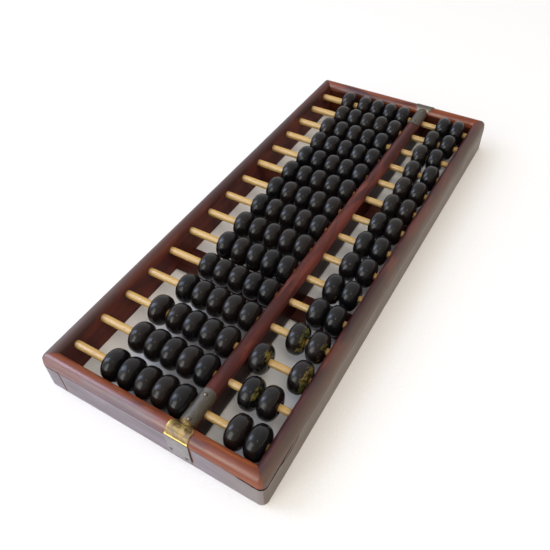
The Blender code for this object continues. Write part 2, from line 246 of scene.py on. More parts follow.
class Tree:
    """A material's node tree, with short calls for the nodes used here."""

    def __init__(self, name):
        self.material = bpy.data.materials.new(name)
        self.material.use_nodes = True
        self.nodes = self.material.node_tree.nodes
        self.link = self.material.node_tree.links.new
        self.shader = self.nodes["Principled BSDF"]
        self.place = self.nodes.new("ShaderNodeTexCoord").outputs["Object"]

    def put(self, socket, value):
        """Link a socket to another, or set it to a constant."""
        if isinstance(value, bpy.types.NodeSocket):
            self.link(value, socket)
        else:
            socket.default_value = value

    def stretched(self, scale):
        """The place on the piece, scaled along each axis."""
        node = self.nodes.new("ShaderNodeMapping")
        self.link(self.place, node.inputs["Vector"])
        node.inputs["Scale"].default_value = scale
        return node.outputs["Vector"]

    def across_frame(self):
        """How far a place is from the middle of the frame, toward the heaven rail."""
        node = self.nodes.new("ShaderNodeSeparateXYZ")
        self.link(self.place, node.inputs[0])
        return node.outputs["Y"]

    def noise(self, vector, detail=3.0, rough=0.5, warp=0.0):
        """Noise from 0 to 1."""
        node = self.nodes.new("ShaderNodeTexNoise")
        self.link(vector, node.inputs["Vector"])
        node.inputs["Scale"].default_value = 1.0
        node.inputs["Detail"].default_value = detail
        node.inputs["Roughness"].default_value = rough
        node.inputs["Distortion"].default_value = warp
        return node.outputs["Fac"]

    def ramp(self, value, low, high, start=0.0, end=1.0):
        """A smooth rise from start to end as value goes from low to high."""
        node = self.nodes.new("ShaderNodeMapRange")
        node.interpolation_type = "SMOOTHSTEP"
        self.put(node.inputs["Value"], value)
        node.inputs["From Min"].default_value = low
        node.inputs["From Max"].default_value = high
        node.inputs["To Min"].default_value = start
        node.inputs["To Max"].default_value = end
        return node.outputs["Result"]

    def math(self, operation, first, second=0.0):
        """One Math node."""
        node = self.nodes.new("ShaderNodeMath")
        node.operation = operation
        self.put(node.inputs[0], first)
        self.put(node.inputs[1], second)
        return node.outputs[0]

    def mix(self, share, first, second):
        """Two colours mixed; a colour is a socket or three numbers."""
        node = self.nodes.new("ShaderNodeMix")
        node.data_type = "RGBA"
        self.put(node.inputs[0], share)
        for socket, value in ((node.inputs[6], first), (node.inputs[7], second)):
            self.put(socket, value if isinstance(value, bpy.types.NodeSocket) else (*value, 1.0))
        return node.outputs[2]

    def attribute(self, name):
        """A number stored on the mesh's points."""
        node = self.nodes.new("ShaderNodeAttribute")
        node.attribute_name = name
        return node.outputs["Fac"]

    def bump(self, height, distance, strength):
        """A normal from a height."""
        node = self.nodes.new("ShaderNodeBump")
        node.inputs["Distance"].default_value = distance
        node.inputs["Strength"].default_value = strength
        self.link(height, node.inputs["Height"])
        return node.outputs["Normal"]

    def finish(self, colour, roughness, normal, metallic=0.0, coat=0.0, coat_roughness=0.1):
        """Fill in the shader and give the material."""
        self.put(self.shader.inputs["Base Color"], colour)
        self.put(self.shader.inputs["Roughness"], roughness)
        self.put(self.shader.inputs["Metallic"], metallic)
        self.link(normal, self.shader.inputs["Normal"])
        self.put(self.shader.inputs["Coat Weight"], coat)
        self.shader.inputs["Coat Roughness"].default_value = coat_roughness
        return self.material


def number_attribute(mesh, name, values):
    """Store one number for each point of a mesh."""
    attribute = mesh.attributes.new(name, "FLOAT", "POINT")
    attribute.data.foreach_set("value", values)


# ---------------------------------------------------------------- materials


def scaled(colour, share):
    """A colour made darker or lighter."""
    return [part * share for part in colour]


def wood_grain(tree, grain, dark, warm, share):
    """The open wood's colour, and its streaks, pits and blotches, each from 0 to 1.

    grain(along, across) gives the texture space for bumps that many to the metre.
    """
    streaks = tree.noise(grain(9, 340), detail=5, rough=0.6, warp=0.4)
    pores = tree.noise(grain(260, 4200), detail=2)
    blotches = tree.noise(grain(20, 75), detail=3, warp=0.6)
    bands = tree.noise(grain(7, 150), detail=2, warp=0.3)
    flames = tree.noise(grain(34, 260), detail=4, rough=0.6, warp=0.8)
    tone = tree.ramp(blotches, 0.62 - share * 0.5, 0.85 - share * 0.5)
    colour = tree.mix(tone, dark, warm)
    glow = [1.5 * warm[0], 1.9 * warm[1], 1.3 * warm[2]]
    burning = tree.math("MULTIPLY", tree.ramp(flames, 0.5, 0.68), tree.ramp(tone, 0.2, 1.0))
    colour = tree.mix(burning, colour, glow)
    colour = tree.mix(tree.ramp(bands, 0.5, 0.64, 0.0, 0.35), colour, scaled(dark, 0.3))
    colour = tree.mix(tree.ramp(streaks, 0.45, 0.66, 0.0, 0.5), colour, scaled(dark, 0.4))
    pits = tree.ramp(pores, 0.62, 0.72)
    colour = tree.mix(tree.math("MULTIPLY", pits, 0.6), colour, (0.012, 0.005, 0.005))
    return colour, streaks, pits, blotches


def rosewood(name, dark, warm, grey, share, depth, along_y=False):
    """Waxed dark hardwood: long streaks, fine pores, warm blotches, rubbed edges and greyed sides, whose
    grey is a greyed wax finish together with a painted sheen.

    share is how much of it is warm, and depth how light the painted shade on its hidden faces is. The inner
    attribute places that painted shade: it is up to 1 on hidden faces and more than 1 inside cracks, where
    the shade is painted near black.
    """
    tree = Tree(name)

    def grain(along, across):
        return tree.stretched((across, along, across) if along_y else (along, across, across))

    colour, streaks, pits, blotches = wood_grain(tree, grain, dark, warm, share)
    worn = tree.attribute("worn")
    side = tree.attribute("side")
    inner = tree.attribute("inner")
    rubbed = tree.math("MULTIPLY", worn, tree.ramp(blotches, 0.4, 0.6))
    colour = tree.mix(tree.math("MULTIPLY", rubbed, 0.7), colour, scaled(warm, 1.25))
    # greyed wax finish together with a painted sheen of the floor and windows, laid on the outer faces and
    # domes by the side attribute
    bloom_and_sheen = tree.mix(tree.ramp(blotches, 0.35, 0.65), grey, scaled(grey, 0.7))
    bloom_and_sheen = tree.mix(tree.ramp(streaks, 0.4, 0.65, 0.0, 0.2), bloom_and_sheen, scaled(grey, 0.5))
    # painted warm reflection of the shaded floor: the greyed colour turns beige toward the heaven rail
    beige = [0.93 * grey[0], 0.95 * grey[1], 0.8 * grey[2]]
    bloom_and_sheen = tree.mix(tree.ramp(tree.across_frame(), 30 * MM, 75 * MM), bloom_and_sheen, beige)
    colour = tree.mix(tree.math("MULTIPLY", side, 0.9), colour, bloom_and_sheen)
    # painted shade on hidden faces: the wood's own colours scaled by depth
    deep, shallow = scaled(dark, 0.9 * depth), scaled(warm, 0.75 * depth)
    recess = tree.mix(tree.ramp(blotches, 0.35, 0.65), deep, shallow)
    colour = tree.mix(tree.math("MULTIPLY", inner, 0.92), colour, recess)
    # painted shade, near black, in cracks, joint lines and the bottoms of cuts
    colour = tree.mix(tree.ramp(inner, 1.05, 1.3), colour, (0.005, 0.004, 0.004))
    smudge = tree.noise(grain(40, 90), detail=4, rough=0.55)
    rough = tree.math("ADD", tree.ramp(smudge, 0.3, 0.75, 0.3, 0.4), tree.math("MULTIPLY", side, 0.08))
    height = tree.math("SUBTRACT", tree.math("MULTIPLY", streaks, 0.4), pits)
    normal = tree.bump(height, 0.04 * MM, 0.35)
    gloss = tree.ramp(inner, 0.0, 1.0, 0.04, 0.0)
    tree.put(tree.shader.inputs["Specular IOR Level"], tree.ramp(inner, 0.0, 1.0, 0.12, 0.03))
    return tree.finish(colour, rough, normal, coat=gloss, coat_roughness=0.25)


def bamboo():
    """Bare bamboo: yellow fibres along the rod, small brown flecks and darker stretches."""
    tree = Tree("bamboo")
    fibres = tree.noise(tree.stretched((2600, 60, 2600)), detail=3, rough=0.6)
    patches = tree.noise(tree.stretched((90, 45, 90)), detail=3)
    flecks = tree.noise(tree.stretched((1400, 260, 1400)), detail=2)
    colour = tree.mix(tree.ramp(fibres, 0.3, 0.7), (0.46, 0.285, 0.08), (0.6, 0.4, 0.135))
    colour = tree.mix(tree.ramp(patches, 0.5, 0.75, 0.0, 0.6), colour, (0.46, 0.23, 0.055))
    colour = tree.mix(tree.ramp(flecks, 0.66, 0.74, 0.0, 0.75), colour, (0.2, 0.09, 0.03))
    # darker where the worn attribute says: by the stops, and a little along the heaven deck
    colour = tree.mix(tree.attribute("worn"), colour, (0.09, 0.036, 0.014))
    roughness = tree.ramp(patches, 0.3, 0.7, 0.36, 0.52)
    normal = tree.bump(fibres, 0.04 * MM, 0.6)
    tree.shader.inputs["Specular IOR Level"].default_value = 0.2
    return tree.finish(colour, roughness, normal)


def lacquer():
    """Black lacquer over turned wood, polished by fingers and worn through beside some bores."""
    tree = Tree("black_lacquer")
    tone = tree.attribute("tone")
    smears = tree.noise(tree.stretched((150, 150, 150)), detail=4, rough=0.6, warp=0.3)
    broken = tree.noise(tree.stretched((230, 420, 230)), detail=5, rough=0.7, warp=0.5)
    worn = tree.ramp(tree.math("ADD", tree.attribute("worn"), broken), 0.88, 1.1)
    colour = tree.mix(tone, (0.0035, 0.004, 0.005), (0.009, 0.006, 0.0055))
    colour = tree.mix(tree.ramp(smears, 0.5, 0.8, 0.0, 0.5), colour, (0.026, 0.023, 0.021))
    bare = tree.mix(tree.ramp(smears, 0.4, 0.62), (0.07, 0.078, 0.022), (0.2, 0.145, 0.03))
    colour = tree.mix(worn, colour, bare)
    roughness = tree.math("ADD", tree.ramp(smears, 0.3, 0.75, 0.09, 0.22), tree.math("MULTIPLY", worn, 0.2))
    ripple = tree.noise(tree.stretched((320, 320, 320)), detail=2)
    height = tree.math("ADD", tree.math("MULTIPLY", smears, 0.6), tree.math("MULTIPLY", ripple, 0.25))
    normal = tree.bump(height, 0.12 * MM, 0.4)
    tree.put(tree.shader.inputs["Specular IOR Level"], tree.ramp(smears, 0.3, 0.7, 0.36, 0.28))
    return tree.finish(colour, roughness, normal)


def brass():
    """Sheet brass: olive where it lies open, dull gold on the plate, partly polish and partly painted
    reflection, and bright along the folds as a painted highlight; the face below the fold takes a painted
    floor reflection, and the tacks take painted shadow.
    """
    tree = Tree("brass")
    cloud = tree.noise(tree.stretched((210, 210, 210)), detail=5, rough=0.65, warp=0.5)
    fine = tree.noise(tree.stretched((1600, 1600, 1600)), detail=3)
    bright = tree.attribute("bright")
    folded = tree.attribute("folded")
    # gold rises with brightness; on the plate it stands partly for a painted reflection
    gold = tree.ramp(tree.math("ADD", bright, tree.ramp(cloud, 0.3, 0.7, -0.15, 0.15)), 0.1, 0.65)
    # rubbed: brightest gold, along the fold and on the leg tacks' crowns, partly rubbed brass and partly a
    # painted highlight
    rubbed = tree.ramp(tree.math("ADD", bright, tree.ramp(cloud, 0.3, 0.7, -0.1, 0.1)), 0.75, 1.05)
    dull = tree.mix(tree.ramp(fine, 0.35, 0.65), (0.045, 0.036, 0.027), (0.08, 0.066, 0.046))
    middle = tree.mix(tree.ramp(cloud, 0.42, 0.58), (0.08, 0.044, 0.014), (0.145, 0.09, 0.028))
    colour = tree.mix(gold, dull, middle)
    colour = tree.mix(rubbed, colour, (0.62, 0.46, 0.15))
    # painted reflection of the pale floor, in grey, on the strap's face below the fold
    floor_reflection_grey = tree.mix(tree.ramp(cloud, 0.3, 0.7), (0.19, 0.17, 0.18), (0.27, 0.25, 0.265))
    colour = tree.mix(tree.math("MULTIPLY", folded, 0.85), colour, floor_reflection_grey)
    # painted shadow, near black, round the leg tacks' rims; the tacks low on the fold are also darkened all
    # over
    colour = tree.mix(tree.ramp(bright, -0.35, -0.05, 0.9, 0.0), colour, (0.016, 0.013, 0.01))
    roughness = tree.math("ADD", tree.ramp(gold, 0.0, 1.0, 0.42, 0.36), tree.math("MULTIPLY", fine, 0.08))
    roughness = tree.math("SUBTRACT", roughness, tree.math("MULTIPLY", rubbed, 0.12))
    metal = tree.math("SUBTRACT", tree.ramp(tree.math("ADD", gold, rubbed), 0.0, 1.6, 0.3, 1.0), folded)
    normal = tree.bump(tree.math("ADD", cloud, tree.math("MULTIPLY", fine, 0.3)), 0.15 * MM, 0.5)
    return tree.finish(colour, roughness, normal, metallic=metal)


def paper_floor():
    """A plain pale matt floor."""
    tree = Tree("pale_floor")
    grain = tree.noise(tree.stretched((700, 700, 700)), detail=2)
    colour = tree.mix(tree.ramp(grain, 0.3, 0.7), (0.83, 0.83, 0.83), (0.86, 0.86, 0.86))
    return tree.finish(colour, 0.7, tree.bump(grain, 0.02 * MM, 0.2))


# ---------------------------------------------------------------- rails


def dome_points(width, foot, height, steps):
    """A half-elliptical dome from the outer side to the inner side, as (offset, height) points."""
    turns = [math.pi * step / steps for step in range(steps + 1)]
    return [(width / 2 * (1 - math.cos(turn)), foot + height * math.sin(turn)) for turn in turns]


def rail_profile():
    """One rail's cross-section as (offset from the outer face, height, groove, spread, worn, side).

    groove is the share of the groove's depth, and spread says which way its lips part at a crack.
    """
    lip = 0.06 * MM
    r = EDGE_RADIUS
    groove = RAIL_FOOT - GROOVE_DROP
    half = GROOVE_WIDTH / 2
    turns = (0, 0.5, 1.1, math.pi / 2)
    points = [(r * (1 - math.sin(a)), r * (1 - math.cos(a)), 0, 0, 0.5, 1) for a in turns]
    points += [(0, height * MM, 0, 0, 0, 1) for height in (3, 6, 9, 12, 15, 17, 18.5)]
    points += [(0, groove - half - lip, 0, -1, 0.3, 0.9), (0, groove - half, 0.08, -1, 0, 0)]
    points += [(0, groove - half * 0.8, 0.8, -0.8, 0, 0), (0, groove, 1, 0, 0, 0)]
    points += [(0, groove + half * 0.8, 0.8, 0.4, 0, 0), (0, groove + half, 0.08, 0.5, 0, 0)]
    points += [(0, groove + half + lip, 0, 0.5, 0.3, 0.5)]
    for offset, height in dome_points(RAIL_WIDTH, RAIL_FOOT + 0.2 * MM, DOME_HEIGHT - 0.2 * MM, 26)[1:]:
        points.append((offset, height, 0, 0, 0.25 + 0.6 * abs(2 * offset / RAIL_WIDTH - 1), 0))
    points += [(RAIL_WIDTH, height * MM, 0, 0, 0, 0) for height in (18, 14, 10, 6, 3)]
    for a in reversed(turns):
        points.append((RAIL_WIDTH - r * (1 - math.sin(a)), r * (1 - math.cos(a)), 0, 0, 0.5, 0))
    return points


def rail_stations(length, corner_steps=8):
    """Places along a rail as (how far from its middle, angle into the rounded corner)."""
    straight = length / 2 - CORNER_RADIUS
    middle = straight - CORNER_REACH
    count = round(2 * middle / STATION_STEP)
    places = [middle * (2 * step / count - 1) for step in range(count + 1)]
    fine = round(CORNER_REACH / CORNER_STEP)
    ends = [middle + CORNER_REACH * step / fine for step in range(1, fine + 1)]
    places = [-end for end in reversed(ends)] + places + ends
    stations = [(place / straight, 0.0) for place in places]
    corner = [math.pi / 4 * step / corner_steps for step in range(1, corner_steps + 1)]
    return [(-1, angle) for angle in reversed(corner)] + stations + [(1, angle) for angle in corner]


def rail_point(station, offset, length):
    """Where a station crosses the line at an offset from the outer face, seen from above."""
    share, angle = station
    turn = max(CORNER_RADIUS - offset, INNER_CORNER_RADIUS)
    run = length / 2 - offset - turn
    along = share * run + math.copysign(turn * math.sin(angle), share)
    return along, offset + turn * (1 - math.cos(angle))


def make_rail(name, length, place, material, seed):
    """A mitred rail swept round its own two corners; local +Y points to the inside of the frame."""
    along_x = length == FRAME_LENGTH
    profile = rail_profile()
    bm = bmesh.new()
    rings = []
    worn = []
    side = []
    inner = []
    for station in rail_stations(length):
        ring = []
        for offset, height, groove, spread, rub, outer in profile:
            along, inward = rail_point(station, offset, length)
            spot = place @ Vector((along, inward, height))
            depth, gape, dark = groove_shape(spot)
            dip = GROOVE_DIP * smooth_step(length / 2 - CORNER_REACH, length / 2, abs(along))
            below_crest = height < RAIL_HEIGHT - 3 * MM
            lowered = height - dip * smooth_step(12 * MM, RAIL_FOOT, height) * below_crest
            outward = 1 - smooth_step(0, RAIL_WIDTH * 0.9, offset)
            sway = RAIL_WAVE * wave(spot, 14 * MM, seed) + RAIL_WAVE * 0.5 * wave(spot, 4 * MM, seed + 5)
            crest = smooth_step(RAIL_FOOT, RAIL_HEIGHT, height)
            along, inward = rail_point(station, offset + groove * depth + sway * outward, length)
            up = lowered + sway * crest + spread * gape if height > EDGE_RADIUS else height
            ring.append(bm.verts.new(place @ Vector((along, inward, up))))
            worn.append(rub)
            on_dome = height > RAIL_FOOT + 0.2 * MM
            # side is the greyed share: greyed wax with a painted sheen on the domes, and with a painted
            # floor reflection on the outer faces
            side.append(dome_bloom_and_sheen(spot, offset, along_x) if on_dome else outer)
            # painted shade on the hidden inner face and in the groove, darker where the groove has cracked
            hidden = offset > RAIL_WIDTH * 0.9 and height < RAIL_FOOT + MM
            inner.append(1 + dark if groove > 0 else hidden)
        rings.append(ring)
    skin_rings(bm, rings)
    rail = add_piece(name, bm, material)
    number_attribute(rail.data, "worn", worn)
    number_attribute(rail.data, "side", side)
    number_attribute(rail.data, "inner", inner)
    return rail


def placed(x, y, degrees):
    """The matrix that turns a piece about +Z and then moves it."""
    return Matrix.Translation((x, y, 0)) @ Matrix.Rotation(math.radians(degrees), 4, "Z")


def rod_ends(number):
    """The middles of a rod's two ends; the nearest rods sit a little high."""
    low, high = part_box(f"rod_{number:02d}")
    x, z = (low.x + high.x) / 2, (low.z + high.z) / 2 + ROD_LIFT.get(number, 0.0)
    return Vector((x, low.y, z)), Vector((x, high.y, z))


def rod_radius(number, y):
    """A rod's radius at a place along it; the rods are thicker at the earth rail."""
    low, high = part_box(f"rod_{number:02d}")
    share = (y - low.y) / (high.y - low.y)
    return (high.z - low.z) / 2 * (ROD_EARTH_SHARE * (1 - share) + ROD_HEAVEN_SHARE * share)


def rod_tool():
    """Tapered bars that cut the rods' holes, a little wider than the rods."""
    bm = bmesh.new()
    for number in ROD_NUMBERS:
        low, high = rod_ends(number)
        middle = (low + high) / 2
        turn = Matrix.Translation(middle) @ Matrix.Rotation(-math.pi / 2, 4, "X")
        bmesh.ops.create_cone(
            bm,
            cap_ends=True,
            segments=ROD_ROUNDS,
            radius1=rod_radius(number, low.y) + HOLE_CLEARANCE,
            radius2=rod_radius(number, high.y) + HOLE_CLEARANCE,
            depth=high.y - low.y + 2 * HOLE_CLEARANCE,
            matrix=turn,
        )
    return bm


def groove_shape(spot):
    """The groove's depth, how far its lips gape where it has cracked open, and how dark its painted shade
    is.
    """
    depth = GROOVE_DEPTH * (1 + 0.25 * wave(spot, 9 * MM, 3))
    near_end = spot.x > FRAME_LENGTH / 2 - RAIL_WIDTH
    if near_end and spot.y < JOINT_LINE_Y:
        return depth, 0.15 * MM, 0.6
    corner = Vector((FRAME_LENGTH / 2, FRAME_WIDTH / 2, spot.z))
    away = (spot - corner).length
    if away > CORNER_REACH:
        return depth, 0.0, 0.0
    on_long_rail = spot.y > corner.y - RAIL_WIDTH and spot.x < corner.x - CORNER_RADIUS
    start, end = (24 * MM, 34 * MM) if on_long_rail else (14 * MM, 17 * MM)
    crack = 1 - smooth_step(start, end, away)
    ragged = 0.5 + 0.5 * wave(spot, 2.2 * MM, 8)
    return depth + crack * 0.8 * MM, crack * (CRACK_WIDTH + CRACK_ROUGHNESS * ragged), crack


def dome_bloom_and_sheen(spot, offset, along_x):
    """How greyed a dome is, by a greyed wax finish together with a painted sheen: most at the earth rail's
    near end, least near the cracked corner.
    """
    share = offset / RAIL_WIDTH
    if along_x and spot.y < 0:
        return (1 - smooth_step(0.3, 1.1, share)) * (0.4 + 0.5 * smooth_step(0, FRAME_LENGTH / 2, spot.x))
    slope = 1 - smooth_step(0.05, 0.75, share)
    return 0.5 * slope * (1.3 if along_x else 1.1 - 0.95 * smooth_step(-5 * MM, 35 * MM, spot.y))


def kerf_tool(face, path, width, depth):
    """A thin wedge along a path of (y, z) points on the plane x = face."""
    bm = bmesh.new()
    rings = []
    out, deep = Vector((MM, 0, 0)), Vector((-depth, 0, 0))
    (y1, z1), (y2, z2) = path[-2:]
    beyond = (2 * y2 - y1, 2 * z2 - z1)
    for (y, z), (next_y, next_z) in zip(path, path[1:] + [beyond]):
        across = Vector((0, z - next_z, next_y - y)).normalized() * width / 2
        spot = Vector((face, y, z))
        mouth, bottom = spot + out, spot + deep
        corners = (mouth + across, mouth - across, bottom - across * 0.4, bottom + across * 0.4)
        rings.append([bm.verts.new(corner) for corner in corners])
    skin_rings(bm, rings)
    return bm


def turned(bm, degrees):
    """A tool turned about the frame's middle, to another rail."""
    bmesh.ops.rotate(bm, verts=bm.verts, matrix=Matrix.Rotation(math.radians(degrees), 3, "Z"))
    return bm


def cut_joint_lines(rail, degrees):
    """The open joint line near one corner, and the split beside the strap's plate."""
    face = FRAME_LENGTH / 2
    top = RAIL_FOOT - GROOVE_DROP
    joint = [(JOINT_LINE_Y - 0.2 * MM, top), (JOINT_LINE_Y, 12 * MM), (JOINT_LINE_Y + 0.1 * MM, -MM)]
    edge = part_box("right_strap")[1].y
    split = [(0.3, 20.4), (0.1, 15), (0.5, 9.5), (0.3, 4.5)]
    split = [(edge + shift * MM, height * MM) for shift, height in split]
    for path, size in ((joint, JOINT_CUT), (split, SPLIT_CUT)):
        cut(rail, turned(kerf_tool(face, path, *size), degrees), CUT_DARKNESS)


def cut_splinter(rail):
    """A raised splinter's lower edge beside the cracked corner, on the heaven rail's outer face."""
    top = RAIL_FOOT - GROOVE_DROP
    back = FRAME_LENGTH / 2
    path = [(14, 0.6), (17, 2.0), (21, 3.4), (26, 4.2), (30, 4.0), (33, 2.6), (35, 1.0)]
    path = [(away * MM - back, top - drop * MM) for away, drop in path]
    cut(rail, turned(kerf_tool(FRAME_WIDTH / 2, path, *SPLINTER_CUT), 90), CUT_DARKNESS)


def make_rails(long_wood, end_wood):
    """The four rails."""
    half_length, half_width = FRAME_LENGTH / 2, FRAME_WIDTH / 2
    plan = {
        "earth_rail": (FRAME_LENGTH, placed(0, -half_width, 0), long_wood),
        "heaven_rail": (FRAME_LENGTH, placed(0, half_width, 180), long_wood),
        "right_end_rail": (FRAME_WIDTH, placed(half_length, 0, 90), end_wood),
        "left_end_rail": (FRAME_WIDTH, placed(-half_length, 0, -90), end_wood),
    }
    for seed, (node, (length, place, wood)) in enumerate(plan.items()):
        rail = make_rail(f"{node}_wood", length, place, wood, seed)
        if length == FRAME_LENGTH:
            cut(rail, rod_tool())
        else:
            cut_joint_lines(rail, 0 if node == "right_end_rail" else 180)
        if node == "heaven_rail":
            cut_splinter(rail)
        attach(rail, "frame")
        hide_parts(node)


def make_beam(material):
    """The beam between the decks, its ends coped onto the end rails."""
    bm = bmesh.new()
    r = EDGE_RADIUS
    bottom = BEAM[0].z
    profile = [(r * (1 - math.sin(a)), bottom + r * (1 - math.cos(a)), 0.6) for a in (0, 0.8, math.pi / 2)]
    profile += [(0, BEAM_FOOT - drop * MM, 0) for drop in (12, 8, 4)]
    for offset, height in dome_points(BEAM_WIDTH, BEAM_FOOT, BEAM_DOME_HEIGHT, 24):
        profile.append((offset, height, 0.3 + 0.5 * abs(2 * offset / BEAM_WIDTH - 1)))
    profile += [(BEAM_WIDTH - offset, height, rub) for offset, height, rub in reversed(profile[:6])]
    reach = INNER_X + BEAM_COPE
    count = round(2 * reach / STATION_STEP)
    rings = []
    wear = []
    inner = []
    for step in range(count + 1):
        x = reach * (2 * step / count - 1)
        ring = []
        for offset, height, rub in profile:
            spot = Vector((x, BEAM[0].y + offset, height))
            crest = smooth_step(BEAM_FOOT, BEAM[1].z, height)
            spot.z += crest * RAIL_WAVE * wave(spot, 12 * MM, 21)
            spot.y += (1 - crest) * 0.4 * RAIL_WAVE * wave(spot, 10 * MM, 22)
            ring.append(bm.verts.new(spot))
            wear.append(rub)
            # painted shade on the beam's sides below its dome
            inner.append(height < BEAM_FOOT + 0.5 * MM)
        rings.append(ring)
    skin_rings(bm, rings)
    beam = add_piece("beam_wood", bm, material)
    number_attribute(beam.data, "worn", wear)
    number_attribute(beam.data, "side", [0.0] * len(wear))
    number_attribute(beam.data, "inner", inner)
    cut(beam, rod_tool())
    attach(beam, "frame")
    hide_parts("beam")


def make_brace(node, material, seed):
    """A flat batten with rounded long edges."""
    low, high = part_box(node)
    bm = bmesh.new()
    bmesh.ops.create_cube(bm, size=1.0)
    for vert in bm.verts:
        vert.co = Vector(a + (b - a) * (c + 0.5) for a, b, c in zip(low, high, vert.co))
    bmesh.ops.bevel(bm, geom=bm.edges[:], offset=0.6 * MM, segments=3, affect="EDGES", profile=0.5)
    long_edges = [edge for edge in bm.edges if abs(edge.verts[0].co.y - edge.verts[1].co.y) > 20 * MM]
    bmesh.ops.subdivide_edges(bm, edges=long_edges, cuts=40)
    for vert in bm.verts:
        vert.co.z += 0.08 * MM * wave(vert.co, 12 * MM, seed) if vert.co.z > high.z - MM else 0
    brace = add_piece(f"{node}_wood", bm, material)
    number_attribute(brace.data, "worn", [0.1] * len(brace.data.vertices))
    number_attribute(brace.data, "side", [0.0] * len(brace.data.vertices))
    # some painted shade over the whole batten
    number_attribute(brace.data, "inner", [0.6] * len(brace.data.vertices))
    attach(brace, "frame")
    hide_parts(node)


# ---------------------------------------------------------------- rods and beads


def make_rod(number, material):
    """A bamboo rod, not quite straight or round, darker where it enters the wood and a little darker along
    the heaven deck.
    """
    node = f"rod_{number:02d}"
    low, high = rod_ends(number)
    bm = bmesh.new()
    rings = []
    wear = []
    stops = (EARTH_RAIL[1].y, BEAM[0].y, BEAM[1].y, HEAVEN_RAIL[0].y)
    for step in range(ROD_RINGS + 1):
        y = low.y + (high.y - low.y) * step / ROD_RINGS
        ring = []
        near_stop = 1 - smooth_step(0.5 * MM, 1.7 * MM, min(abs(y - stop) for stop in stops))
        for turn in range(ROD_ROUNDS):
            angle = 2 * math.pi * turn / ROD_ROUNDS
            out = Vector((math.cos(angle), 0, math.sin(angle)))
            sway = ROD_WAVE * wave((angle, y / (9 * MM), number), 1.0, number)
            ring.append(bm.verts.new(Vector((low.x, y, low.z)) + out * (rod_radius(number, y) + sway)))
            wear.append(max(0.85 * near_stop, 0.2 * (y > BEAM[1].y)))
        rings.append(ring)
    skin_rings(bm, rings)
    rod = add_piece(f"{node}_bamboo", bm, material)
    number_attribute(rod.data, "worn", wear)
    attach(rod, "frame")
    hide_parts(node)


def bead_profile(radius, thickness):
    """The closed outline of a bead as (distance from the axis, place along it) points.

    It is a superellipse whose tips are cut off flat round the bore.
    """
    half = thickness / 2
    edge = 0.1 * MM
    reach = half * BEAD_REACH
    start = math.asin(((half - edge) / reach) ** (BEAD_FULLNESS / 2))
    points = []
    steps = 20
    for step in range(steps + 1):
        angle = start * (1 - 2 * step / steps)
        along = math.copysign(abs(math.sin(angle)) ** (2 / BEAD_FULLNESS), angle) * reach
        points.append((radius * math.cos(angle) ** (2 / BEAD_FULLNESS), along))
    flat = max(points[-1][0] - 0.6 * MM, BEAD_BORE + 0.6 * MM)
    face = [(flat, half), (BEAD_BORE + 0.25 * MM, half - 0.1 * MM), (BEAD_BORE, half - 0.4 * MM)]
    points += [(distance, -along) for distance, along in face]
    points += reversed(face)
    return points


def make_bead(name, centre, radius, thickness, material, rng, rub):
    """One turned bead on its rod, slightly uneven and tilted; rub is how far its lacquer has worn."""
    tilt = Matrix.Rotation(math.radians(rng.uniform(-1.2, 1.2)), 4, "Z")
    tilt = tilt @ Matrix.Rotation(math.radians(rng.uniform(-1.0, 1.0)), 4, "X")
    seed = rng.uniform(0, 50)
    tone = rng.random()
    bm = bmesh.new()
    rings = []
    wear = []
    outline = bead_profile(radius, thickness)
    for turn in range(BEAD_ROUNDS):
        angle = 2 * math.pi * turn / BEAD_ROUNDS
        out = Vector((math.cos(angle), 0, math.sin(angle)))
        ring = []
        for distance, along in outline:
            bulge = smooth_step(BEAD_BORE * 1.3, radius, distance)
            uneven = 1 + 0.008 * bulge * wave(out * distance + Vector((0, along, 0)), 7 * MM, seed)
            spot = tilt @ (out * distance * uneven + Vector((0, along, 0)))
            ring.append(bm.verts.new(spot + centre))
            upper = smooth_step(-0.6, 0.6, out.z + 0.5 * out.x)
            heaven_side = smooth_step(-0.15 * thickness, 0.42 * thickness, along)
            wear.append(rub * upper * heaven_side)
        rings.append(ring)
    rings.append(rings[0])
    skin_rings(bm, rings, cap=False)
    bead = add_piece(name, bm, material, sharp=math.radians(60))
    number_attribute(bead.data, "worn", wear)
    number_attribute(bead.data, "tone", [tone] * len(wear))
    return bead


def bead_nodes():
    """Every CAD group of beads with its deck and rod number, from -Y to +Y on each rod."""
    found = sorted(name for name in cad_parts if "_beads_" in name)
    return [(name, name.split("_")[0], int(name.split("_")[2][:2])) for name in found]


def make_beads(material):
    """Separate beads in the place of each CAD group, riding on the group's body."""
    rng = random.Random(15)
    placed_count = {}
    cad_bead = min(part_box(name)[1].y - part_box(name)[0].y for name, _, _ in bead_nodes())
    for node, deck, rod in bead_nodes():
        low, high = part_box(node)
        count = round((high.y - low.y) / cad_bead)
        thin, small = THIN_EARTH_RODS.get(rod, (1.0, 1.0)) if deck == "earth" else (1.0, 1.0)
        x, _, z = rod_ends(rod)[0]
        room = (high.y - low.y) / count
        thickness = room * thin
        for index in range(count):
            number = placed_count.get((deck, rod), 0) + 1
            placed_count[(deck, rod)] = number
            y = high.y - (count - index - 0.5) * thickness + BEAD_SHIFT * (deck == "earth")
            y += BEAD_NUDGES.get((deck, rod), [0] * number)[number - 1]
            radius = BEAD_RADIUS * small * rng.uniform(0.985, 1.012)
            radius *= BIG_HEAVEN_BEADS.get(rod, (1.0, 1.0))[number - 1] if deck == "heaven" else 1.0
            rub = WORN_HEAVEN_BEADS.get(rod, (0.0, 0.0))[number - 1] if deck == "heaven" else 0.0
            bead = make_bead(
                f"{deck}_bead_{rod:02d}_{number}",
                Vector((x, y, z - BEAD_DROP)),
                radius,
                thickness - 0.08 * MM,
                material,
                rng,
                rub,
            )
            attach(bead, node)
            if index == 0:
                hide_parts(node)


# ---------------------------------------------------------------- brass straps


def dome(across, width, foot, height):
    """How high a dome stands at a distance across it."""
    share = 2 * across / width - 1
    return foot + height * math.sqrt(max(0.0, 1 - share * share))


